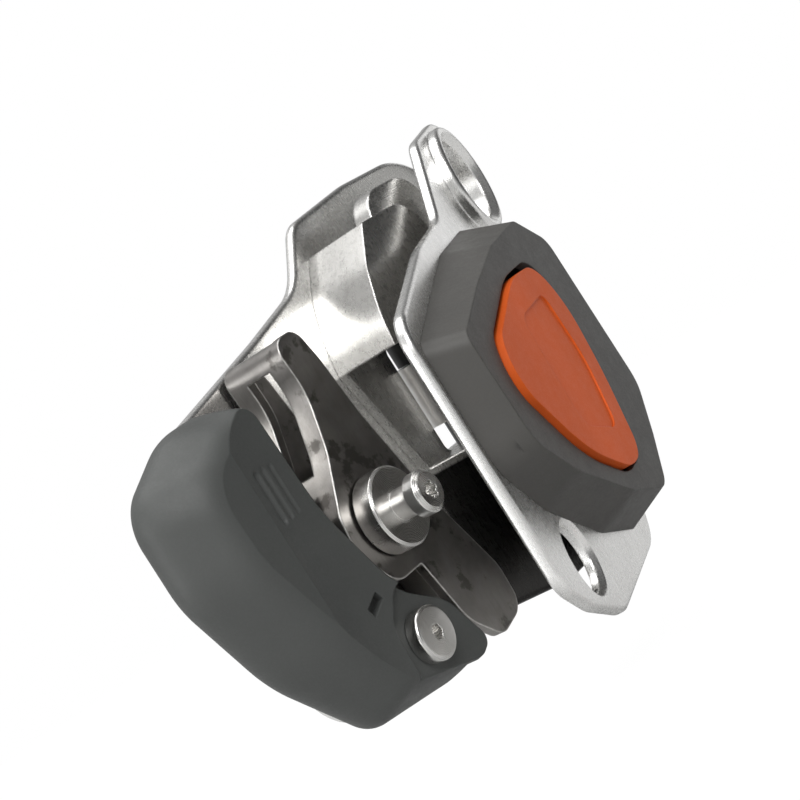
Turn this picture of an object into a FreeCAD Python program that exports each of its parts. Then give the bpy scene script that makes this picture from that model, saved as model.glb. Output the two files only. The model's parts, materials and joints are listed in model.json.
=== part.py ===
import FreeCAD, Part
import math
import os

# Openable rope ascender. A cam in a steel channel pinches the rope against a fixed
# shoe, a plastic handle backs the cam off, and a hinged front plate with a latch cover
# swings shut over the cam pin and slides down to hook behind its head. Millimetres.
#
# Row frame: origin at the carabiner eye's centre on the back plate's inner face,
# +Z up along the rope, +X from the handle towards the eye, -Y out of the front.
# Sub-parts are laid out from the cam pin as (across, down, proud): across is +X,
# down is -Z, and proud is -Y measured from the back plate's inner face.

# ---- driving dimensions ---------------------------------------------------
EYE = (67.0, -30.0, 7.5)
PLATE_THICKNESS = 2.0
PLATE_GAP = 15.9
EDGE_ROUND = 0.7

HINGE_ACROSS = 41.5
HINGE_PROUD = 3.0
HINGE_SHAFT_RADIUS = 1.25
SLEEVE_RADIUS = 2.0
BARREL_RADIUS = 4.3
BARREL_TOP = -14.0
BARREL_BOTTOM = -3.5
WINDOW_TOP = -18.3
WINDOW_BOTTOM = 0.9
WINDOW_HALF = 4.9
OPEN_ANGLE = 17.4
LOCK_SLIDE = 4.2

CAM_BACK = 0.8
CAM_FRONT = 12.0
CAM_SHEET = 1.6
CAM_PIN_RADIUS = 2.6
CAM_BUSH_RADIUS = 3.5
WASHER_RADIUS = 6.0
WASHER_FRONT = 15.8
NECK_RADIUS = 2.3
HEAD_RADIUS = 3.2
HEAD_BACK = 19.1
HEAD_FRONT = 21.5
SIGHT_SLOT_WIDTH = 4.6

SHOE_SHEET = 1.7
SHOE_FRONT = 12.0
LUG_BACK = 6.9

HANDLE_PIN = (-8.0, 16.4)
HANDLE_PIN_RADIUS = 2.2
HANDLE_HEAD_RADIUS = 4.0
HANDLE_BACK = 0.8
HANDLE_FRONT = 14.8
HANDLE_SKIN = 12.4
HANDLE_SEAT = 13.3
LOWER_HOLE = (8.3, 20.4, 5.4)

COVER_LEFT = -5.2
COVER_SLOPE = 3.0
COVER_RISE = 6.0
COVER_WALL = 1.7
BUTTON_PROUD = 0.9
BUTTON_DEPTH = 2.0

RIVET_RADIUS = 1.3
RIVET_HEAD = 2.3
LEAF_RIVET_RADIUS = 1.2
COVER_SCREW_HEAD = 2.4
LEAF_SHEET = 0.35
HANDLE_BUSH_RADIUS = 3.4

# clearances on the radius: a turning fit, and a fixed one
RUNNING = 0.06
SNUG = 0.02

PLATE_FRONT = PLATE_GAP + PLATE_THICKNESS
OUT = FreeCAD.Vector(0, -1, 0)
UP = FreeCAD.Vector(0, 0, 1)


# ---- geometry helpers -----------------------------------------------------
def at(across, down, proud):
    """Row-frame point for a place given from the cam pin."""
    return FreeCAD.Vector(across - EYE[0], -proud, EYE[1] - down)


def wire(corners, proud, slope=0.0):
    """Closed wire through corners (across, down, rounding radius).

    With a slope the wire lies on a plane that rises outwards from COVER_LEFT."""
    rise = math.tan(math.radians(slope))
    points = [at(a, d, proud + (a - COVER_LEFT) * rise) for a, d, _ in corners]
    count = len(points)
    joints = []
    for index, corner in enumerate(points):
        radius = corners[index][2]
        if radius == 0:
            joints.append((corner, None, corner))
            continue
        back = points[index - 1].sub(corner).normalize()
        ahead = points[(index + 1) % count].sub(corner).normalize()
        half = back.getAngle(ahead) / 2
        reach = radius / math.tan(half)
        start = corner + back * reach
        end = corner + ahead * reach
        inward = (back + ahead).normalize()
        middle = corner + inward * (radius / math.sin(half) - radius)
        joints.append((start, middle, end))
    edges = []
    for index, (start, middle, end) in enumerate(joints):
        if middle is not None:
            edges.append(Part.Arc(start, middle, end).toShape())
        following = joints[(index + 1) % count][0]
        edges.append(Part.LineSegment(end, following).toShape())
    return Part.Wire(edges)


def sheet(corners, back, front, slope=0.0):
    """Plate with a rounded outline, from one proud level out to another."""
    return Part.Face(wire(corners, back, slope)).extrude(OUT * (front - back))


def rod(across, down, radius, back, front):
    """Cylinder standing out from the back plate."""
    return Part.makeCylinder(radius, front - back, at(across, down, back), OUT)


def ring(across, down, inner, outer, back, front):
    return rod(across, down, outer, back, front).cut(rod(across, down, inner, back, front))


def taper(across, down, back_radius, front_radius, back, front):
    """Cone standing out from the back plate."""
    return Part.makeCone(back_radius, front_radius, front - back, at(across, down, back), OUT)


def upright(across, proud, radius, top, bottom):
    """Cylinder parallel to the rope."""
    return Part.makeCylinder(radius, bottom - top, at(across, bottom, proud), UP)


def block(left, right, top, bottom, back, front):
    """Box between limits given from the cam pin."""
    return Part.makeBox(right - left, front - back, bottom - top, at(left, bottom, front))


def coil(turns, radius, thickness, pitch):
    """Round-wire spring about the Z axis, starting at the origin."""
    path = Part.Wire(Part.makeHelix(pitch, pitch * turns, radius).Edges)
    section = Part.makeCircle(thickness / 2, FreeCAD.Vector(radius, 0, 0), FreeCAD.Vector(0, 1, 0))
    return path.makePipeShell([Part.Wire(section)], True, True)


def on_level(edge, proud):
    """True for an edge that lies flat at one proud level."""
    box = edge.BoundBox
    return abs(-box.YMin - proud) < 0.01 and abs(-box.YMax - proud) < 0.01


def soften(shape, radius, proud):
    """Round the edges that lie at one proud level."""
    return shape.makeFillet(radius, [edge for edge in shape.Edges if on_level(edge, proud)])


def bevel(shape, size, proud):
    """Chamfer the edges that lie at one proud level."""
    return shape.makeChamfer(size, [edge for edge in shape.Edges if on_level(edge, proud)])


def rivets(places, radius, head_radius, back, front, head):
    """Rivets with round heads of one height at both ends."""
    bodies = []
    for across, down in places:
        shank = rod(across, down, radius, back, front)
        tail = taper(across, down, head_radius * 0.75, head_radius, back - head, back)
        cap = taper(across, down, head_radius, head_radius * 0.75, front, front + head)
        bodies.append(shank.fuse([tail, cap]).removeSplitter())
    return Part.makeCompound(bodies)


def drilled(shape, places, radius, back, front):
    """Cut one size of hole at several places."""
    tools = [rod(across, down, radius, back, front) for across, down in places]
    return shape.cut(Part.makeCompound(tools))


def opened(shape):
    """Turn a piece of the shut front plate to its open rest position."""
    turned = shape.copy()
    turned.rotate(at(HINGE_ACROSS, 0, HINGE_PROUD), UP, OPEN_ANGLE)
    return turned


def save(name, shape):
    if shape.isNull() or not shape.isValid() or not shape.Solids:
        raise RuntimeError("bad shape " + name)
    solids = shape.Solids
    result = solids[0] if len(solids) == 1 else Part.makeCompound(solids)
    result.exportStep("parts/" + name + ".step")
    print(name, len(solids), round(result.Volume, 1))


# ---- fixed frame ----------------------------------------------------------
SHOE_RIVETS = [(34.5, -22.6), (52.5, -12.0), (35.5, 12.0), (46.0, 20.0)]
LUG_RIVETS = [(47.5, -31.0), (40.5, -25.2)]
STUD_FRONT = SHOE_FRONT - 0.9


def back_plate():
    corners = [
        (-15.5, -24.4, 4), (12.5, -29.9, 40), (27.8, -33.4, 12), (36.0, -42.2, 6),
        (54.0, -44.0, 20), (81.0, -44.0, 13.9), (81.0, -16.0, 13.9), (60.0, -14.0, 10),
        (55.0, 22.8, 12), (-19.6, 22.8, 10),
    ]
    plate = sheet(corners, -PLATE_THICKNESS, 0)
    plate = soften(plate, EDGE_ROUND, -PLATE_THICKNESS)
    plate = soften(plate, EDGE_ROUND, 0)
    plate = drilled(plate, [EYE[:2]], EYE[2], -3, 1)
    plate = drilled(plate, [(0, 0)], CAM_PIN_RADIUS + SNUG, -3, 1)
    plate = drilled(plate, [HANDLE_PIN], HANDLE_PIN_RADIUS + SNUG, -3, 1)
    plate = drilled(plate, SHOE_RIVETS + LUG_RIVETS, RIVET_RADIUS + SNUG, -3, 1)
    return plate.cut(hinge_window(-3, 1))


def hinge_window(back, front):
    left = HINGE_ACROSS - WINDOW_HALF
    right = HINGE_ACROSS + WINDOW_HALF
    corners = [
        (left, WINDOW_TOP, 1.5), (right, WINDOW_TOP, 1.5),
        (right, WINDOW_BOTTOM, 1.5), (left, WINDOW_BOTTOM, 1.5),
    ]
    return sheet(corners, back, front)


def shoe_channel(outer, inner):
    """Folded channel open away from the rope, closed at its hinge end."""
    inside = sheet(inner, SHOE_SHEET, SHOE_FRONT - SHOE_SHEET)
    return sheet(outer, 0, SHOE_FRONT).cut(inside)


def fixed_shoe():
    upper = shoe_channel(
        [
            (34.8, -36.4, 0.8), (29.4, -30.2, 14), (26.0, -23.6, 20), (24.9, WINDOW_TOP, 0),
            (50.0, WINDOW_TOP, 0), (50.0, -29.0, 3), (51.8, -36.4, 6),
        ],
        [
            (37.4, -37.0, 0), (31.2, -29.2, 12), (27.8, -23.2, 18), (26.9, -20.0, 0),
            (60.0, -20.0, 0), (60.0, -37.0, 0),
        ],
    )
    lower = shoe_channel(
        [(30.0, WINDOW_BOTTOM, 0), (30.0, 26.2, 1.2), (49.0, 26.2, 5), (49.0, WINDOW_BOTTOM, 0)],
        [(31.7, 2.6, 0), (31.7, 27.0, 0), (60.0, 27.0, 0), (60.0, 2.6, 0)],
    )
    base = [
        (24.9, WINDOW_TOP, 0), (55.5, WINDOW_TOP, 4), (55.5, -8.0, 6),
        (49.0, WINDOW_BOTTOM, 0), (30.0, WINDOW_BOTTOM, 0),
    ]
    base = sheet(base, 0, SHOE_SHEET).cut(hinge_window(-1, SHOE_SHEET + 1))
    shoe = upper.fuse([base, lower]).removeSplitter()
    shoe = shoe.cut(upright(HINGE_ACROSS, HINGE_PROUD, HINGE_SHAFT_RADIUS + SNUG, -30, 20))
    shoe = drilled(shoe, SHOE_RIVETS, RIVET_RADIUS + SNUG, -1, SHOE_SHEET + 1)
    return drilled(shoe, LUG_RIVETS, RIVET_RADIUS + SNUG, -1, STUD_FRONT)


def load_lug():
    corners = [
        (40.2, -40.2, 5.5), (57.0, -40.2, 6), (57.0, -27.0, 6),
        (50.0, -21.2, 4), (36.0, -21.2, 2), (36.0, -30.0, 3), (40.2, -34.5, 3),
    ]
    lug = sheet(corners, LUG_BACK, SHOE_FRONT - SHOE_SHEET)
    return drilled(lug, LUG_RIVETS, RIVET_RADIUS + SNUG, 0, 20)


def lug_spacers():
    rings = [ring(a, d, RIVET_RADIUS + SNUG, 2.9, SHOE_SHEET, LUG_BACK) for a, d in LUG_RIVETS]
    return Part.makeCompound(rings)


def shoe_rivets():
    return rivets(SHOE_RIVETS, RIVET_RADIUS, RIVET_HEAD, -PLATE_THICKNESS, SHOE_SHEET, 0.8)


def lug_rivets():
    """Studs headed on the back plate that end blind in the shoe's front cheek."""
    bodies = []
    for across, down in LUG_RIVETS:
        shank = rod(across, down, RIVET_RADIUS, -PLATE_THICKNESS, STUD_FRONT)
        head = taper(across, down, 1.7, RIVET_HEAD, -PLATE_THICKNESS - 0.7, -PLATE_THICKNESS)
        bodies.append(shank.fuse(head).removeSplitter())
    return Part.makeCompound(bodies)


def main_pin():
    shank = rod(0, 0, CAM_PIN_RADIUS, -PLATE_THICKNESS, WASHER_FRONT)
    tail = taper(0, 0, 3.6, 4.4, -PLATE_THICKNESS - 1.2, -PLATE_THICKNESS)
    neck = rod(0, 0, NECK_RADIUS, WASHER_FRONT, HEAD_BACK)
    head = bevel(rod(0, 0, HEAD_RADIUS, HEAD_BACK, HEAD_FRONT), 0.6, HEAD_FRONT)
    pin = shank.fuse([tail, neck, head]).removeSplitter()
    return pin.cut(star_recess(0, 0, 1.4, HEAD_FRONT, 1.2))


def star_recess(across, down, size, front, depth):
    """Six-lobed driver recess."""
    lobes = [rod(across, down, size * 0.68, front - depth, front + 1)]
    for index in range(6):
        angle = math.radians(60 * index)
        lobe_across = across + size * 0.72 * math.cos(angle)
        lobe_down = down + size * 0.72 * math.sin(angle)
        lobes.append(rod(lobe_across, lobe_down, size * 0.28, front - depth, front + 1))
    return lobes[0].fuse(lobes[1:])


def pin_washer():
    collar = rod(0, 0, WASHER_RADIUS, CAM_FRONT + 0.4, WASHER_FRONT)
    collar = bevel(collar, 0.35, WASHER_FRONT)
    return collar.cut(rod(0, 0, CAM_PIN_RADIUS + SNUG, 0, 20))


def back_washer():
    return ring(0, 0, CAM_PIN_RADIUS + SNUG, 5.0, 0, CAM_BACK - 0.1)


def handle_pin():
    across, down = HANDLE_PIN
    shank = rod(across, down, HANDLE_PIN_RADIUS, -PLATE_THICKNESS, HANDLE_SEAT + 0.1)
    tail = taper(across, down, 3.0, 3.8, -PLATE_THICKNESS - 1.0, -PLATE_THICKNESS)
    head = rod(across, down, HANDLE_HEAD_RADIUS, HANDLE_SEAT + 0.1, PLATE_GAP - 0.3)
    head = soften(head, 0.5, PLATE_GAP - 0.3)
    pin = shank.fuse([tail, head]).removeSplitter()
    socket = []
    for index in range(6):
        angle = math.radians(60 * index + 12)
        socket.append((across + 1.2 * math.cos(angle), down + 1.2 * math.sin(angle), 0))
    return pin.cut(sheet(socket, PLATE_GAP - 1.8, 20))


# ---- hinge ----------------------------------------------------------------
def hinge_shaft():
    return upright(HINGE_ACROSS, HINGE_PROUD, HINGE_SHAFT_RADIUS, WINDOW_TOP - 2.4, WINDOW_BOTTOM + 3.4)


def hinge_knob():
    knob = upright(HINGE_ACROSS, HINGE_PROUD, 3.6, WINDOW_TOP, BARREL_TOP - 0.2)
    flat = block(HINGE_ACROSS - 5, HINGE_ACROSS + 5, WINDOW_TOP - 1, BARREL_TOP + 1, 5.6, 9)
    knob = knob.cut(flat)
    return knob.cut(upright(HINGE_ACROSS, HINGE_PROUD, HINGE_SHAFT_RADIUS + SNUG, -30, 20))


def hinge_sleeve():
    sleeve = upright(HINGE_ACROSS, HINGE_PROUD, SLEEVE_RADIUS, BARREL_TOP - 0.1, WINDOW_BOTTOM - 0.1)
    return sleeve.cut(upright(HINGE_ACROSS, HINGE_PROUD, HINGE_SHAFT_RADIUS + RUNNING, -30, 20))


LEAF_RIVETS = [(49.5, -11.4), (49.5, -6.1)]


def hinge_leaf():
    barrel = upright(HINGE_ACROSS, HINGE_PROUD, BARREL_RADIUS, BARREL_TOP, BARREL_BOTTOM)
    right = HINGE_ACROSS + BARREL_RADIUS
    arm = block(right - 2.2, right, BARREL_TOP, BARREL_BOTTOM, HINGE_PROUD, PLATE_GAP)
    foot = block(right - 2.2, right + 7.0, BARREL_TOP, BARREL_BOTTOM, PLATE_GAP - 1.8, PLATE_GAP)
    leaf = barrel.fuse([arm, foot]).removeSplitter()
    leaf = leaf.cut(upright(HINGE_ACROSS, HINGE_PROUD, SLEEVE_RADIUS + RUNNING, -30, 20))
    return drilled(leaf, LEAF_RIVETS, LEAF_RIVET_RADIUS + SNUG, 10, 20)


def leaf_rivets():
    bodies = []
    for across, down in LEAF_RIVETS:
        head = taper(across, down, 1.7, 2.2, PLATE_GAP - 2.5, PLATE_GAP - 1.8)
        shank = rod(across, down, LEAF_RIVET_RADIUS, PLATE_GAP - 1.8, PLATE_FRONT)
        bodies.append(head.fuse(shank).removeSplitter())
    return Part.makeCompound(bodies)


# ---- front plate and latch cover (laid out shut) ----------------------------
COVER_SCREWS = [(9.6, -16.2), (48.5, -19.0), (51.5, 10.0), (26.0, 17.4)]


def front_plate():
    corners = [
        (-6.5, -21.2, 6), (22.0, -28.4, 40), (40.6, -30.6, 8), (55.4, -43.4, 7),
        (80.4, -46.6, 9), (80.4, -24.0, 9), (61.2, -20.0, 6), (61.2, 10.0, 20),
        (54.4, 30.8, 13), (13.0, 31.2, 12), (0.6, 26.0, 9), (-6.5, 20.6, 5),
    ]
    plate = sheet(corners, PLATE_GAP, PLATE_FRONT)
    plate = soften(plate, EDGE_ROUND, PLATE_FRONT)
    plate = soften(plate, EDGE_ROUND, PLATE_GAP)
    eye = (EYE[0], EYE[1] - LOCK_SLIDE)
    collar = soften(rod(eye[0], eye[1], 9.8, PLATE_FRONT, PLATE_FRONT + 2.0), 0.9, PLATE_FRONT + 2.0)
    plate = plate.fuse(collar).removeSplitter()
    plate = drilled(plate, [eye], EYE[2], 0, 40)
    plate = plate.cut(taper(eye[0], eye[1], EYE[2], EYE[2] + 1.2, PLATE_FRONT + 0.8, PLATE_FRONT + 2.0))
    plate = drilled(plate, [LOWER_HOLE[:2]], LOWER_HOLE[2], 0, 40)
    across, down, radius = LOWER_HOLE
    plate = plate.cut(taper(across, down, radius, radius + 0.8, PLATE_FRONT - 0.8, PLATE_FRONT))
    plate = plate.cut(keyhole())
    plate = drilled(plate, LEAF_RIVETS + CATCH_RIVETS, LEAF_RIVET_RADIUS + SNUG, 10, 40)
    plate = drilled(plate, COVER_SCREWS, RIVET_RADIUS + SNUG, 10, 40)
    return drilled(plate, COVER_SCREWS, COVER_SCREW_HEAD + SNUG, 10, PLATE_GAP + 1.0)


def keyhole():
    """Entry hole for the cam pin's head, leaning with the swing, and the locking slot."""
    wires = []
    for left, proud in ((-5.2, PLATE_GAP - 0.1), (-4.6, PLATE_FRONT + 0.1)):
        corners = [(left, -3.7, 3.5), (3.8, -3.7, 3.5), (3.8, 3.7, 3.5), (left, 3.7, 3.5)]
        wires.append(wire(corners, proud))
    entry = Part.makeLoft(wires, True, True)
    half = NECK_RADIUS + 0.35
    end = -LOCK_SLIDE - half
    turn = half - 0.01
    slot = [(-half, end, turn), (half, end, turn), (half, 0, 0), (-half, 0, 0)]
    return entry.fuse(sheet(slot, 10, 30))


COVER_BASE = [
    (COVER_LEFT, -17.2, 2.5), (12.3, -21.7, 10), (30.0, -26.0, 10), (50.0, -27.6, 5),
    (59.2, -18.0, 5), (59.6, 10.0, 6), (52.5, 24.0, 6), (42.5, 26.6, 8),
    (23.6, 21.4, 15), (4.6, 11.6, 12), (COVER_LEFT, 2.4, 7),
]
COVER_TOP = [
    (-4.0, -15.4, 2.5), (12.3, -19.8, 10), (28.8, -23.2, 10), (45.8, -24.4, 4),
    (56.8, -18.8, 4), (58.2, 8.6, 5), (49.6, 16.0, 5), (40.0, 22.8, 6),
    (24.5, 18.4, 15), (6.6, 9.4, 12), (-3.0, 1.8, 7),
]


def cover_shell(inset):
    """Solid between the cover's foot and its sloping top, shrunk by an inset."""
    foot = wire(COVER_BASE, PLATE_FRONT)
    top = wire(COVER_TOP, PLATE_FRONT + COVER_RISE - inset, COVER_SLOPE)
    if inset:
        foot = foot.makeOffset2D(-inset)
        top = top.makeOffset2D(-inset)
    return Part.makeLoft([foot, top], True, True)


BUTTON = [
    (38.8, -17.4, 8), (25.5, -17.6, 30), (5.4, -12.0, 6.5), (1.8, -5.4, 7), (12.8, 8.4, 30),
    (26.6, 15.5, 14), (34.8, 15.5, 6), (40.8, 2.0, 40), (43.2, -9.0, 12),
]
BUTTON_WELL = [
    (41.2, -18.6, 8), (25.0, -18.2, 30), (4.8, -12.6, 6.5), (1.2, -5.4, 7), (12.4, 8.9, 30),
    (26.4, 16.1, 14), (36.4, 16.1, 6), (43.0, 2.0, 40), (45.8, -9.4, 12),
]
THUMB_MARK = [(19.0, -12.2, 3), (35.0, -13.0, 2.5), (36.2, -1.0, 15), (31.4, 10.0, 3), (17.4, 5.6, 4)]


def latch_cover():
    low = PLATE_FRONT + COVER_RISE
    cover = cover_shell(0).cut(cover_shell(COVER_WALL))
    posts = [rod(across, down, 2.5, PLATE_FRONT, 40) for across, down in COVER_SCREWS]
    rim = wire(BUTTON_WELL, low - 1.9, COVER_SLOPE).makeOffset2D(1.2)
    skirt = Part.Face(rim).extrude(OUT * 1.9)
    inner = Part.makeCompound(posts + [skirt]).common(cover_shell(0.2))
    cover = cover.fuse(inner.Solids).removeSplitter()
    cover = cover.cut(sheet(BUTTON_WELL, low - 6.0, low + 3.0, COVER_SLOPE))
    head_room = taper(-0.1, 0, 4.55, 3.5, PLATE_FRONT - 0.1, 21.9)
    slide_room = block(-3.6, 3.6, -LOCK_SLIDE, 0, PLATE_FRONT - 0.1, 21.9)
    end_room = rod(0, -LOCK_SLIDE, 3.6, PLATE_FRONT - 0.1, 21.9)
    cover = cover.cut(head_room.fuse([slide_room, end_room]))
    return drilled(cover, COVER_SCREWS, RIVET_RADIUS + SNUG, 10, 21.0)


def cover_screws():
    bodies = []
    for across, down in COVER_SCREWS:
        head = rod(across, down, COVER_SCREW_HEAD, PLATE_GAP + 0.05, PLATE_GAP + 1.0)
        head = head.cut(star_recess(across, down, 1.2, PLATE_GAP + 0.55, 1.5))
        shank = rod(across, down, RIVET_RADIUS, PLATE_GAP + 1.0, 20.8)
        bodies.append(head.fuse(shank).removeSplitter())
    return Part.makeCompound(bodies)


def release_button():
    low = PLATE_FRONT + COVER_RISE + BUTTON_PROUD
    button = sheet(BUTTON, low - BUTTON_DEPTH, low, COVER_SLOPE)
    loop = wire(THUMB_MARK, low - 0.3, COVER_SLOPE)
    groove = Part.Face([loop, loop.makeOffset2D(-0.55)]).extrude(OUT * 2)
    groove = groove.cut(block(0, 18.6, -10.5, 4.5, 0, 60))
    stem = rod(31.0, -2.0, 2.0, PLATE_FRONT + 1.7, low)
    return button.fuse(stem).removeSplitter().cut(groove)


CATCH_RIVETS = [(11.4, 0.0)]


def catch_leaf():
    """Spring leaf under the cover that reaches over the cam pin's head."""
    profile = [
        (-0.4, 21.85), (3.6, 21.85), (7.6, PLATE_FRONT), (14.0, PLATE_FRONT),
        (14.0, PLATE_FRONT + LEAF_SHEET), (7.9, PLATE_FRONT + LEAF_SHEET), (3.9, 22.2), (-0.4, 22.2),
    ]
    points = [at(across, 1.4, proud) for across, proud in profile]
    leaf = Part.Face(Part.makePolygon(points + points[:1])).extrude(UP * 2.8)
    return drilled(leaf, CATCH_RIVETS, LEAF_RIVET_RADIUS + SNUG, 10, 20)


def catch_rivets():
    across, down = CATCH_RIVETS[0]
    shank = rod(across, down, LEAF_RIVET_RADIUS, PLATE_GAP, PLATE_FRONT + LEAF_SHEET)
    cap = taper(across, down, 2.0, 1.5, PLATE_FRONT + LEAF_SHEET, PLATE_FRONT + 1.0)
    return shank.fuse(cap).removeSplitter()


def button_spring():
    """Bowed leaf that lifts the button, drawn at its pressed height."""
    top = PLATE_FRONT + 4.45
    profile = [
        (14.8, PLATE_FRONT), (14.8, PLATE_FRONT + LEAF_SHEET), (16.8, PLATE_FRONT + LEAF_SHEET),
        (19.4, top), (22.6, top), (25.2, PLATE_FRONT + LEAF_SHEET), (27.2, PLATE_FRONT + LEAF_SHEET),
        (27.2, PLATE_FRONT), (25.0, PLATE_FRONT), (22.4, top - LEAF_SHEET), (19.6, top - LEAF_SHEET), (17.0, PLATE_FRONT),
    ]
    points = [at(across, -0.4, proud) for across, proud in profile]
    return Part.Face(Part.makePolygon(points + points[:1])).extrude(UP * 3.2)


# ---- cam -------------------------------------------------------------------
CAM_OUTLINE = [
    (-0.2, -28.0, 2.6), (5.8, -28.5, 2.6), (7.2, -23.0, 20), (8.4, -13.6, 30), (12.8, 4.6, 30),
    (17.3, 16.6, 6), (16.9, 23.4, 3.4), (9.4, 24.6, 3), (4.2, 19.4, 8), (1.9, 8.8, 0.5),
    (-4.6, 8.8, 4), (-9.2, 2.6, 4), (-8.2, -3.2, 3), (-2.7, -11.6, 12), (0.5, -20.0, 12),
]
CAM_RIVETS = [(11.3, 9.0), (12.8, 18.6)]
DOWEL_RADIUS = 1.4
DOWEL_FRONT = CAM_FRONT - CAM_SHEET + 0.4


def cam_channel():
    cam = sheet(CAM_OUTLINE, CAM_BACK, CAM_FRONT)
    inside = [
        (1.5, -40.0, 0), (2.2, -19.6, 10), (-1.1, -11.2, 10), (-6.6, -2.8, 3), (-7.6, 3.2, 0),
        (-20.0, 3.2, 0), (-20.0, 40.0, 0), (40.0, 40.0, 0), (40.0, -40.0, 0),
    ]
    cam = cam.cut(sheet(inside, CAM_BACK + CAM_SHEET, CAM_FRONT - CAM_SHEET))
    middle = (CAM_BACK + CAM_FRONT) / 2
    half = SIGHT_SLOT_WIDTH / 2
    cam = cam.cut(block(-12, 3.4, -24.8, -9.6, middle - half, middle + half))
    cam = drilled(cam, [(0, 0)], CAM_BUSH_RADIUS, 0, 20)
    return drilled(cam, CAM_RIVETS, DOWEL_RADIUS + SNUG, 0, DOWEL_FRONT)


def cam_bush():
    return ring(0, 0, CAM_PIN_RADIUS + RUNNING, CAM_BUSH_RADIUS, CAM_BACK, CAM_FRONT)


def cam_jaw():
    """Hardened block between the cam's cheeks with cross grooves on its rope side."""
    outline = [
        (8.2, -11.0, 1.0), (10.4, -11.0, 1.0), (13.9, 4.2, 30), (18.3, 16.0, 9),
        (17.8, 22.4, 3), (9.6, 23.2, 2), (6.9, 8.0, 2),
    ]
    jaw = sheet(outline, CAM_BACK + CAM_SHEET + 0.05, CAM_FRONT - CAM_SHEET - 0.05)
    teeth = []
    for down in range(-8, 21, 2):
        across = 11.2 + (down + 8) * 0.2286 + max(0, down - 6) * 0.13 - max(0, down - 15) * 0.22
        teeth.append(rod(across + 0.35, down, 0.55, 0, 20))
    jaw = jaw.cut(Part.makeCompound(teeth))
    return drilled(jaw, CAM_RIVETS, DOWEL_RADIUS + SNUG, 0, 20)


def jaw_rivets():
    """Dowels pressed in from behind that end blind in the front cheek."""
    return Part.makeCompound([rod(a, d, DOWEL_RADIUS, CAM_BACK, DOWEL_FRONT) for a, d in CAM_RIVETS])


def cam_spring():
    spring = coil(5, 4.4, 0.7, 1.0)
    spring.rotate(FreeCAD.Vector(0, 0, 0), FreeCAD.Vector(1, 0, 0), 90)
    spring.translate(at(0, 0, 3.6))
    return spring


# ---- handle ------------------------------------------------------------------
# across, down, radius, and how far the corner moves per millimetre the section draws in
HANDLE_CORNERS = [
    (-14.6, -25.4, 2.4, 0.1, 0.3), (-13.2, -6.0, 25, 0, 0), (-8.4, 8.8, 12, 0, 0),
    (0.5, 14.6, 7, 0, 0), (4.3, 23.8, 1.6, 0, -0.2), (1.0, 25.4, 3, 0, -0.3),
    (-18.3, 22.8, 5, 0.55, -0.75), (-29.6, 9.9, 22, 0.9, -0.45), (-35.6, -5.5, 14, 1, 0),
    (-35.4, -19.6, 7, 0.9, 0.45), (-23.0, -25.4, 14, 0.3, 0.8),
]
# how far the section draws in, and its proud level
HANDLE_LEVELS = [
    (5.2, 0.8), (2.2, 2.2), (0.4, 4.4), (0.2, 6.6), (1.4, 9.2), (3.2, 12.0), (4.8, 13.8), (6.6, 14.8),
]
HANDLE_CUTBACK = [
    (-13.4, -40.0, 0), (-13.2, -14.0, 10), (-12.0, -3.0, 8), (-9.0, 7.2, 6), (-4.0, 12.2, 3),
    (-2.6, 22.0, 5), (2.0, 40.0, 0), (40.0, 40.0, 0), (40.0, -40.0, 0),
]
HANDLE_FRAME = [
    (-13.6, 22.2, 5), (-2.9, 22.2, 5), (-2.9, 13.0, 4), (-9.6, 6.4, 5), (-11.0, -3.4, 3),
    (-6.2, -8.2, 0.9), (-8.6, -12.2, 1.4), (-17.6, -6.6, 5), (-17.6, 8.0, 14),
]
HANDLE_SCREWS = [(-14.4, -3.6), (-14.0, 7.4)]
PIN_SEAT = [(-13.6, 12.8, 5), (-14.8, 40.0, 0), (40.0, 40.0, 0), (40.0, 4.0, 0), (-9.4, 8.2, 4)]
SIGHT_HOLE = [(-15.9, 8.2, 0), (-12.6, 7.0, 0), (-12.0, 8.4, 0), (-15.3, 9.7, 0)]
GROOVES = (-20.9, -19.0, -17.1)
GROOVE_RADIUS = 0.75
GROOVE_TOP = -14.6
GROOVE_BOTTOM = -8.0
VALLEY_RADIUS = 40.0
FRAME_BACK = 4.9
FRAME_FRONT = 8.1


def handle_section(inset, proud):
    return wire([(a + inset * x, d + inset * y, r) for a, d, r, x, y in HANDLE_CORNERS], proud)


def finger_groove(across):
    """Shallow groove with round ends for a fingertip."""
    proud = HANDLE_FRONT - 0.3
    groove = upright(across, proud, GROOVE_RADIUS, GROOVE_TOP, GROOVE_BOTTOM)
    ends = [Part.makeSphere(GROOVE_RADIUS, at(across, down, proud)) for down in (GROOVE_TOP, GROOVE_BOTTOM)]
    return groove.fuse(ends)


def handle_shell():
    sections = [handle_section(inset, proud) for inset, proud in HANDLE_LEVELS]
    shell = Part.makeLoft(sections, True, False)
    shell = shell.cut(sheet(HANDLE_CUTBACK, 0, HANDLE_SKIN))
    shell = shell.cut(sheet(PIN_SEAT, HANDLE_SEAT, 30))
    shell = shell.cut(upright(-15.0, HANDLE_FRONT + VALLEY_RADIUS - 0.9, VALLEY_RADIUS, -40, 40))
    shell = shell.cut(Part.makeCompound([finger_groove(across) for across in GROOVES]))
    shell = shell.cut(sheet(SIGHT_HOLE, 12.6, 30))
    shell = shell.cut(sheet(HANDLE_FRAME, 0, FRAME_FRONT))
    shell = shell.cut(rod(HANDLE_PIN[0], HANDLE_PIN[1], HANDLE_BUSH_RADIUS, 0, 30))
    return drilled(shell, HANDLE_SCREWS, RIVET_RADIUS + SNUG, 0, 11.5)


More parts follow.
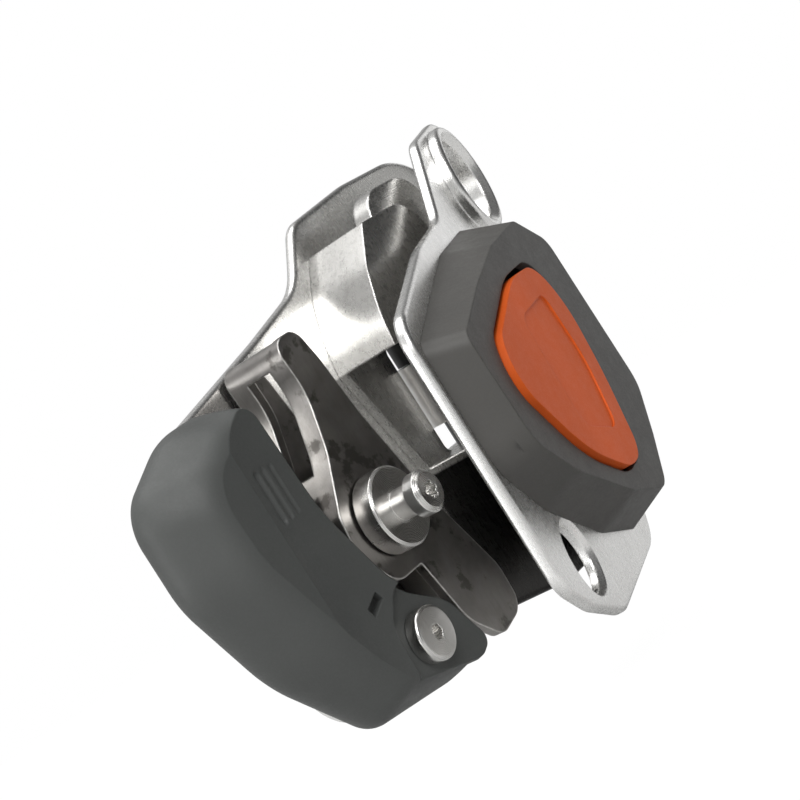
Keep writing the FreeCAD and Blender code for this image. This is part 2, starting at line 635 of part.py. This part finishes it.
def handle_frame():
    """Steel arm round the lower pin whose nose pushes the cam's web."""
    frame = sheet(HANDLE_FRAME, FRAME_BACK, FRAME_FRONT)
    frame = frame.cut(rod(HANDLE_PIN[0], HANDLE_PIN[1], HANDLE_BUSH_RADIUS, 0, 30))
    return drilled(frame, HANDLE_SCREWS, RIVET_RADIUS + SNUG, 0, 20)


def handle_bush():
    inner = HANDLE_PIN_RADIUS + RUNNING
    return ring(*HANDLE_PIN, inner, HANDLE_BUSH_RADIUS, HANDLE_BACK, HANDLE_SEAT)


def handle_screws():
    bodies = []
    for across, down in HANDLE_SCREWS:
        head = rod(across, down, 2.3, FRAME_BACK - 1.6, FRAME_BACK)
        head = head.cut(star_recess(across, down, 1.3, FRAME_BACK - 0.7, 2.0))
        shank = rod(across, down, RIVET_RADIUS, FRAME_BACK, 11.2)
        bodies.append(head.fuse(shank).removeSplitter())
    return Part.makeCompound(bodies)


os.makedirs("parts", exist_ok=True)

FIXED = {
    "back_plate": back_plate,
    "fixed_shoe": fixed_shoe,
    "shoe_rivets": shoe_rivets,
    "load_lug": load_lug,
    "lug_spacers": lug_spacers,
    "lug_rivets": lug_rivets,
    "main_pin": main_pin,
    "pin_washer": pin_washer,
    "back_washer": back_washer,
    "handle_pin": handle_pin,
    "hinge_shaft": hinge_shaft,
    "hinge_knob": hinge_knob,
    "hinge_sleeve": hinge_sleeve,
    "cam_channel": cam_channel,
    "cam_jaw": cam_jaw,
    "jaw_rivets": jaw_rivets,
    "cam_bush": cam_bush,
    "cam_spring": cam_spring,
    "handle_shell": handle_shell,
    "handle_frame": handle_frame,
    "handle_bush": handle_bush,
    "handle_screws": handle_screws,
}
SWUNG = {
    "front_plate": front_plate,
    "hinge_leaf": hinge_leaf,
    "leaf_rivets": leaf_rivets,
    "latch_cover": latch_cover,
    "cover_screws": cover_screws,
    "catch_leaf": catch_leaf,
    "catch_rivets": catch_rivets,
    "release_button": release_button,
    "button_spring": button_spring,
}
for name, make in FIXED.items():
    save(name, make())
for name, make in SWUNG.items():
    save(name, opened(make()))
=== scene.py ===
import json

import bmesh
import bpy
from mathutils import Matrix, Vector


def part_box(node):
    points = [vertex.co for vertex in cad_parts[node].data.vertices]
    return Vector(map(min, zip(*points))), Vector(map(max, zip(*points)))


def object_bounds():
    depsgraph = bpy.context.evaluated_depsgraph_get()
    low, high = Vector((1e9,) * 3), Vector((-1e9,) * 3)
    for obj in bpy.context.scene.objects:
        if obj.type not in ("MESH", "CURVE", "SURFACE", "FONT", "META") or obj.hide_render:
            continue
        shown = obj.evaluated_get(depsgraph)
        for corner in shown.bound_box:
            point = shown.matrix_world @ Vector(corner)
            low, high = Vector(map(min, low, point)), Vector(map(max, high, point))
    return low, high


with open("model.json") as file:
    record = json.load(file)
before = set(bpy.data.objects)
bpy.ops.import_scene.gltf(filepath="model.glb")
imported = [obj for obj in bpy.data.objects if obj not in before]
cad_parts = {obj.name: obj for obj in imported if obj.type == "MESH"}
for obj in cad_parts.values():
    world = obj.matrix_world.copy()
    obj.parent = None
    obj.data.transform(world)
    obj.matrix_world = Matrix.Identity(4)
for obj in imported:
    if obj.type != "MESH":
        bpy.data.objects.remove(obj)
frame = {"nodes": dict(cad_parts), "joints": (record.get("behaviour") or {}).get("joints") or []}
bpy.context.view_layer.update()
cad_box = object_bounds()

MM = 0.001

# Turning axes of the pins, from the joints that turn about them, in metres.
axis_place = {joint["name"]: tuple(joint["pos_m"]) for joint in frame["joints"] if "pos_m" in joint}
MAIN_PIN = axis_place["cam_turn"]
HANDLE_PIN = axis_place["handle_squeeze"]
HINGE = axis_place["plate_swing"]

# The shoe is black below this height, a little under the foot of the hinge sleeve.
OXIDE_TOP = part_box("hinge_sleeve")[0][2] - 1.4 * MM

# A point between the cam and the shoe, which all the lights face.
LIGHT_AIM = (-0.055, -0.01, -0.03)

FLOOR_RADIUS = 0.45
FLOOR_DROP = 0.012
FLOOR_GLOW = 1.05
FLOOR_GLOW_SHARE = 0.93

# The studio mirrored in the metal: tones from the side opposite DARK_SIDE round to it.
STUDIO_STRENGTH = 0.6
DARK_SIDE = (0.80, -0.60, 0.05)
STUDIO_TONES = ((0.0, 1.0), (0.42, 0.85), (0.70, 0.55), (0.84, 0.30), (0.97, 0.10))

CAMERA_PLACE = (-0.2856, -0.1794, -0.0029)
CAMERA_RIGHT = (0.4642, -0.7076, -0.5328)
CAMERA_BACK = (-0.8156, -0.5760, 0.0544)

# Distance between the rings of a wave texture whose scale is 1.
WAVE_PERIOD = 0.314
BEVEL_SAMPLES = 6
BLACK_OXIDE = (0.030, 0.029, 0.028)


# ---------------------------------------------------------------- node helpers


def shade(colour, factor):
    """The colour made darker or paler, up to full white."""
    return tuple(min(1.0, part * factor) for part in colour)


class Finish:
    """One procedural material under construction, with its main shader."""

    def __init__(self, name):
        self.material = bpy.data.materials.new(name)
        self.material.use_nodes = True
        self.tree = self.material.node_tree
        self.tree.nodes.clear()
        self.output = self.add("ShaderNodeOutputMaterial")
        self.shader = self.add("ShaderNodeBsdfPrincipled")
        self.join(self.shader.outputs["BSDF"], self.output.inputs["Surface"])
        self.place = self.add("ShaderNodeTexCoord").outputs["Object"]

    def add(self, kind):
        return self.tree.nodes.new(kind)

    def join(self, source, target):
        self.tree.links.new(source, target)

    def set(self, **values):
        for name, value in values.items():
            self.shader.inputs[name.replace("_", " ")].default_value = value

    def moved(self, centre=(0, 0, 0), stretch=(1, 1, 1)):
        """The object's coordinates about a centre, stretched along each axis."""
        shift = self.add("ShaderNodeVectorMath")
        shift.operation = "SUBTRACT"
        shift.inputs[1].default_value = centre
        self.join(self.place, shift.inputs[0])
        scale = self.add("ShaderNodeVectorMath")
        scale.operation = "MULTIPLY"
        scale.inputs[1].default_value = stretch
        self.join(shift.outputs[0], scale.inputs[0])
        return scale.outputs[0]

    def noise(self, size, detail=3.0, stretch=(1, 1, 1), rough=0.55):
        """Noise whose features are about size metres across, from 0 to 1."""
        node = self.add("ShaderNodeTexNoise")
        node.inputs["Scale"].default_value = 1.0 / size
        node.inputs["Detail"].default_value = detail
        node.inputs["Roughness"].default_value = rough
        self.join(self.moved(stretch=stretch), node.inputs["Vector"])
        return node.outputs[0]

    def rings(self, centre, pitch, axis="Y"):
        """Turning marks round a lathe axis through centre."""
        node = self.add("ShaderNodeTexWave")
        node.wave_type = "RINGS"
        node.rings_direction = axis
        node.inputs["Scale"].default_value = WAVE_PERIOD / pitch
        self.join(self.moved(centre), node.inputs["Vector"])
        return node.outputs["Fac"]

    def remap(self, value, low, high, start=0.0, end=1.0):
        """start..end of value spread over low..high."""
        node = self.add("ShaderNodeMapRange")
        node.inputs["From Min"].default_value = start
        node.inputs["From Max"].default_value = end
        node.inputs["To Min"].default_value = low
        node.inputs["To Max"].default_value = high
        self.join(value, node.inputs["Value"])
        return node.outputs["Result"]

    def math(self, kind, one, two):
        node = self.add("ShaderNodeMath")
        node.operation = kind
        for socket, value in zip(node.inputs, (one, two)):
            if isinstance(value, (int, float)):
                socket.default_value = value
            else:
                self.join(value, socket)
        return node.outputs[0]

    def mix(self, amount, one, two):
        """Colour one where amount is 0, and two where it is 1."""
        node = self.add("ShaderNodeMix")
        node.data_type = "RGBA"
        self.join(amount, node.inputs["Factor"])
        for socket, value in zip((node.inputs[6], node.inputs[7]), (one, two)):
            if isinstance(value, tuple):
                socket.default_value = (*value, 1.0)
            else:
                self.join(value, socket)
        return node.outputs[2]

    def rounded(self, radius):
        """The surface normal with every edge eased over radius metres."""
        node = self.add("ShaderNodeBevel")
        node.samples = BEVEL_SAMPLES
        node.inputs["Radius"].default_value = radius
        return node.outputs["Normal"]

    def edges(self, eased):
        """1 on outer and inner edges, 0 on open faces; it marks edges for wear and for a painted edge
        highlight.
        """
        geometry = self.add("ShaderNodeNewGeometry")
        product = self.add("ShaderNodeVectorMath")
        product.operation = "DOT_PRODUCT"
        self.join(eased, product.inputs[0])
        self.join(geometry.outputs["Normal"], product.inputs[1])
        return self.remap(product.outputs["Value"], 1.0, 0.0, 0.80, 0.985)

    def bump(self, height, depth, strength, over):
        """The normal over, with height raised up to depth metres."""
        node = self.add("ShaderNodeBump")
        node.inputs["Distance"].default_value = depth
        node.inputs["Strength"].default_value = strength
        self.join(height, node.inputs["Height"])
        self.join(over, node.inputs["Normal"])
        return node.outputs["Normal"]

    def finish(self, colour, roughness, normal):
        self.join(colour, self.shader.inputs["Base Color"])
        self.join(roughness, self.shader.inputs["Roughness"])
        self.join(normal, self.shader.inputs["Normal"])
        return self.material


# ------------------------------------------------------------------- finishes


def brushed_metal(
    name, pale, dark, smooth, coarse, grain, ease=0.35 * MM, depth=0.002 * MM,
    edge_wear_and_highlight_colour=None, black_below=None, stain=None
):
    """Sheet metal with brush lines, smudges, and edges made paler partly by wear and partly as a
    painted edge highlight.

    The lines run along the axis whose grain is smallest. Below the height black_below it keeps
    a black oxide skin. A stain is a colour for scuffed patches.
    """
    made = Finish(name)
    made.set(Metallic=1.0)
    eased = made.rounded(ease)
    edge = made.edges(eased)
    lines = made.noise(0.16 * MM, 4.0, grain, 0.6)
    smudge = made.noise(9 * MM, 4.0)
    speck = made.noise(1.1 * MM, 5.0)
    body = made.mix(made.remap(smudge, 0, 1, 0.35, 0.65), dark, pale)
    streaked = made.mix(made.remap(lines, 0.0, 0.35, 0.3, 0.7), body, shade(dark, 0.9))
    if black_below is not None:
        height = made.add("ShaderNodeSeparateXYZ")
        made.join(made.place, height.inputs[0])
        under = made.remap(height.outputs["Z"], 1.0, 0.0, black_below, black_below + 0.4 * MM)
        streaked = made.mix(under, streaked, BLACK_OXIDE)
    if stain:
        patch = made.remap(made.noise(5 * MM, 6.0, rough=0.65), 0.0, 0.75, 0.56, 0.62)
        streaked = made.mix(patch, streaked, stain)
    # Edges go paler here: partly real wear, partly a painted edge highlight.
    rubbed_and_highlit = made.math("MULTIPLY", edge, made.remap(speck, 0.5, 1.0, 0.35, 0.6))
    coloured = made.mix(rubbed_and_highlit, streaked, edge_wear_and_highlight_colour or shade(pale, 1.12))
    texture = made.math("ADD", made.math("MULTIPLY", lines, 0.5), made.math("MULTIPLY", speck, 0.5))
    rough = made.remap(texture, smooth, coarse, 0.3, 0.7)
    return made.finish(coloured, rough, made.bump(lines, depth, 0.6, eased))


def turned_metal(name, colour, smooth, coarse, centre, pitch=0.22 * MM, axis="Y", ease=0.2 * MM):
    """Lathe-turned steel: fine rings round its axis with a little tarnish between them."""
    made = Finish(name)
    made.set(Metallic=1.0)
    eased = made.rounded(ease)
    edge = made.edges(eased)
    ring = made.rings(centre, pitch, axis)
    tarnish = made.noise(2.6 * MM, 4.0)
    base = made.mix(made.remap(tarnish, 0, 1, 0.3, 0.75), colour, shade(colour, 0.78))
    ringed = made.mix(made.remap(ring, 0.0, 0.22), base, shade(colour, 0.8))
    # Edges go paler here: a painted edge highlight, partly also wear.
    coloured = made.mix(edge, ringed, shade(colour, 1.15))
    rough = made.remap(made.math("ADD", ring, tarnish), smooth, coarse, 0.3, 1.5)
    return made.finish(coloured, rough, made.bump(ring, 0.006 * MM, 0.7, eased))


def moulded_plastic(name, colour, worn_and_highlight_colour, smooth, coarse, grain=0.35 * MM, ease=0.4 * MM, shine=0.38):
    """Spark-eroded mould texture with faint flow shading, and paler edges that are partly burnished and
    partly a painted edge highlight.
    """
    made = Finish(name)
    made.set(IOR=1.47, Specular_IOR_Level=shine)
    eased = made.rounded(ease)
    edge = made.edges(eased)
    pebble = made.noise(grain, 3.0, rough=0.6)
    flow = made.noise(14 * MM, 2.0, (1.0, 1.0, 0.5))
    scuff = made.noise(2.2 * MM, 6.0, rough=0.7)
    body = made.mix(made.remap(flow, 0, 1, 0.3, 0.7), shade(colour, 0.93), shade(colour, 1.06))
    speckled = made.mix(made.remap(pebble, 0.0, 0.12, 0.45, 0.75), body, worn_and_highlight_colour)
    # Edges go paler here: partly burnished, partly a painted edge highlight.
    rubbed_and_highlit = made.math("MULTIPLY", edge, made.remap(scuff, 0.0, 0.6, 0.35, 0.75))
    coloured = made.mix(rubbed_and_highlit, speckled, worn_and_highlight_colour)
    rough = made.remap(made.math("ADD", pebble, scuff), coarse, smooth, 0.7, 1.3)
    return made.finish(coloured, rough, made.bump(pebble, 0.02 * MM, 0.8, eased))


# Grain whose brush lines run up the object, and along it.
LINES_ALONG_Z = (1.0, 1.0, 0.03)
LINES_ALONG_X = (0.03, 1.0, 1.0)

FINISHES = {
    "aluminium_plate": brushed_metal(
        "finish_plate", (0.88, 0.875, 0.86), (0.80, 0.795, 0.78), 0.23, 0.32, LINES_ALONG_Z, 0.5 * MM
    ),
    "shoe_steel": brushed_metal(
        "finish_shoe", (0.66, 0.65, 0.63), (0.52, 0.51, 0.49), 0.22, 0.34, LINES_ALONG_Z, 0.4 * MM,
        black_below=OXIDE_TOP
    ),
    "lug_steel": brushed_metal(
        "finish_lug", (0.74, 0.73, 0.71), (0.60, 0.59, 0.57), 0.20, 0.34, LINES_ALONG_X, 0.6 * MM
    ),
    "cam_steel": brushed_metal(
        "finish_cam", (0.36, 0.345, 0.33), (0.22, 0.21, 0.20), 0.26, 0.42, LINES_ALONG_Z, 0.45 * MM,
        # The pale colour below brightens the dark cam's edges: partly wear, partly a painted edge
        # highlight.
        0.003 * MM, (0.80, 0.79, 0.76), stain=(0.10, 0.093, 0.085)
    ),
    "jaw_steel": brushed_metal(
        "finish_jaw", (0.50, 0.49, 0.47), (0.36, 0.35, 0.34), 0.28, 0.44, LINES_ALONG_X
    ),
    "frame_steel": brushed_metal(
        "finish_frame", (0.56, 0.55, 0.53), (0.42, 0.41, 0.40), 0.30, 0.45, LINES_ALONG_X
    ),
    "barrel_steel": turned_metal("finish_barrel", (0.86, 0.85, 0.83), 0.22, 0.36, HINGE, 0.3 * MM, "Z"),
    "sleeve_steel": turned_metal("finish_sleeve", (0.10, 0.10, 0.10), 0.22, 0.36, HINGE, 0.3 * MM, "Z"),
    "spring_steel": brushed_metal(
        "finish_spring", (0.52, 0.51, 0.50), (0.38, 0.37, 0.36), 0.22, 0.35, LINES_ALONG_X, 0.1 * MM
    ),
    "rivet_steel": brushed_metal(
        "finish_rivet", (0.68, 0.67, 0.65), (0.54, 0.53, 0.51), 0.20, 0.34, LINES_ALONG_X, 0.25 * MM
    ),
    "pin_steel": turned_metal("finish_pin", (0.70, 0.69, 0.67), 0.16, 0.30, MAIN_PIN),
    "washer_steel": turned_metal("finish_washer", (0.66, 0.65, 0.63), 0.18, 0.32, MAIN_PIN),
    "handle_pin_steel": turned_metal("finish_handle_pin", (0.68, 0.67, 0.65), 0.18, 0.32, HANDLE_PIN),
    "bush_bronze": turned_metal("finish_bush", (0.62, 0.42, 0.22), 0.25, 0.40, MAIN_PIN),
    "screw_steel": brushed_metal(
        "finish_screw", (0.30, 0.30, 0.30), (0.20, 0.20, 0.20), 0.28, 0.42, LINES_ALONG_X, 0.15 * MM
    ),
    "handle_plastic": moulded_plastic(
        "finish_handle", (0.056, 0.0588, 0.0565), (0.080, 0.083, 0.081), 0.46, 0.60
    ),
    "cover_plastic": moulded_plastic(
        "finish_cover", (0.058, 0.056, 0.052), (0.085, 0.082, 0.077), 0.44, 0.58
    ),
    "button_plastic": moulded_plastic(
        "finish_button", (0.62, 0.095, 0.012), (0.70, 0.14, 0.03), 0.46, 0.60,
        grain=0.3 * MM, ease=0.25 * MM, shine=0.2
    ),
    "knob_plastic": moulded_plastic(
        "finish_knob", (0.022, 0.022, 0.023), (0.06, 0.06, 0.06), 0.35, 0.50,
        grain=0.25 * MM, ease=0.3 * MM
    ),
}

for node in frame["nodes"].values():
    for held in node.material_slots:
        held.material = FINISHES[held.material.name]


# ---------------------------------------------------------------------- stage


def floor_disc():
    """A round pale floor a little under the object, brightened where the camera sees it."""
    mesh = bpy.data.meshes.new("floor")
    disc = bmesh.new()
    bmesh.ops.create_circle(disc, cap_ends=True, segments=96, radius=FLOOR_RADIUS)
    disc.to_mesh(mesh)
    disc.free()
    made = bpy.data.objects.new("floor", mesh)
    made.location = (cad_box[0].x, 0, cad_box[0].z - FLOOR_DROP)
    bpy.context.scene.collection.objects.link(made)
    surface = Finish("finish_floor")
    tone = surface.mix(surface.noise(0.4, 2.0), (0.52, 0.52, 0.515), (0.55, 0.55, 0.55))
    surface.set(Roughness=0.9, Specular_IOR_Level=0.1)
    surface.join(tone, surface.shader.inputs["Base Color"])
    glow = surface.add("ShaderNodeEmission")
    glow.inputs["Strength"].default_value = FLOOR_GLOW
    camera_ray = surface.add("ShaderNodeLightPath").outputs["Is Camera Ray"]
    seen = surface.math("MULTIPLY", camera_ray, FLOOR_GLOW_SHARE)
    blend = surface.add("ShaderNodeMixShader")
    surface.join(seen, blend.inputs["Fac"])
    surface.join(surface.shader.outputs["BSDF"], blend.inputs[1])
    surface.join(glow.outputs[0], blend.inputs[2])
    surface.join(blend.outputs[0], surface.output.inputs["Surface"])
    mesh.materials.append(surface.material)


def softbox(name, place, aim, size, power):
    """A rectangular area light at place, facing aim."""
    data = bpy.data.lights.new(name, "AREA")
    data.shape = "RECTANGLE"
    data.size, data.size_y = size
    data.energy = power
    lamp = bpy.data.objects.new(name, data)
    lamp.location = place
    lamp.rotation_euler = (Vector(aim) - Vector(place)).to_track_quat("-Z", "Y").to_euler()
    bpy.context.scene.collection.objects.link(lamp)


def studio_world():
    """White behind the object, and a soft studio round it that polished metal can mirror."""
    world = bpy.data.worlds.new("studio")
    bpy.context.scene.world = world
    world.use_nodes = True
    tree = world.node_tree
    tree.nodes.clear()
    where = tree.nodes.new("ShaderNodeTexCoord").outputs["Generated"]
    side = tree.nodes.new("ShaderNodeVectorMath")
    side.operation = "DOT_PRODUCT"
    side.inputs[1].default_value = Vector(DARK_SIDE).normalized()
    tree.links.new(where, side.inputs[0])
    ramp = tree.nodes.new("ShaderNodeValToRGB")
    stops = ramp.color_ramp.elements
    for stop, (place, tone) in zip(stops, (STUDIO_TONES[0], STUDIO_TONES[-1])):
        stop.position = place
        stop.color = (tone, tone, tone, 1)
    for place, tone in STUDIO_TONES[1:-1]:
        stops.new(place).color = (tone, tone, tone, 1)
    spread = tree.nodes.new("ShaderNodeMapRange")
    spread.inputs["From Min"].default_value = -1.0
    tree.links.new(side.outputs["Value"], spread.inputs["Value"])
    tree.links.new(spread.outputs["Result"], ramp.inputs["Fac"])
    around = tree.nodes.new("ShaderNodeBackground")
    around.inputs["Strength"].default_value = STUDIO_STRENGTH
    tree.links.new(ramp.outputs["Color"], around.inputs["Color"])
    behind = tree.nodes.new("ShaderNodeBackground")
    behind.inputs["Color"].default_value = (1.0, 1.0, 1.0, 1)
    path = tree.nodes.new("ShaderNodeLightPath")
    either = tree.nodes.new("ShaderNodeMixShader")
    tree.links.new(path.outputs["Is Camera Ray"], either.inputs["Fac"])
    tree.links.new(around.outputs[0], either.inputs[1])
    tree.links.new(behind.outputs[0], either.inputs[2])
    output = tree.nodes.new("ShaderNodeOutputWorld")
    tree.links.new(either.outputs[0], output.inputs["Surface"])


def long_lens():
    """The camera: from the left and front, rolled so that the object leans as on its rope."""
    data = bpy.data.cameras.new("camera")
    data.lens = 90.0
    data.sensor_width = 36.0
    data.clip_start = 0.01
    lens = bpy.data.objects.new("camera", data)
    back = Vector(CAMERA_BACK).normalized()
    up = back.cross(Vector(CAMERA_RIGHT)).normalized()
    right = up.cross(back)
    turn = Matrix((right, up, back)).transposed().to_4x4()
    lens.matrix_world = Matrix.Translation(CAMERA_PLACE) @ turn
    bpy.context.scene.collection.objects.link(lens)
    bpy.context.scene.camera = lens


floor_disc()
studio_world()
softbox("key", (-0.55, -0.45, 0.55), LIGHT_AIM, (0.5, 0.5), 5.2)
softbox("top", (-0.05, 0.1, 0.75), LIGHT_AIM, (0.6, 0.6), 4.2)
softbox("left", (-0.75, 0.25, 0.05), LIGHT_AIM, (0.5, 0.7), 3.6)
softbox("right", (0.75, -0.02, 0.0), LIGHT_AIM, (0.35, 0.7), 0.6)
long_lens()

scene = bpy.context.scene
scene.view_settings.view_transform = "Standard"
scene.view_settings.look = "None"

bpy.context.view_layer.update()
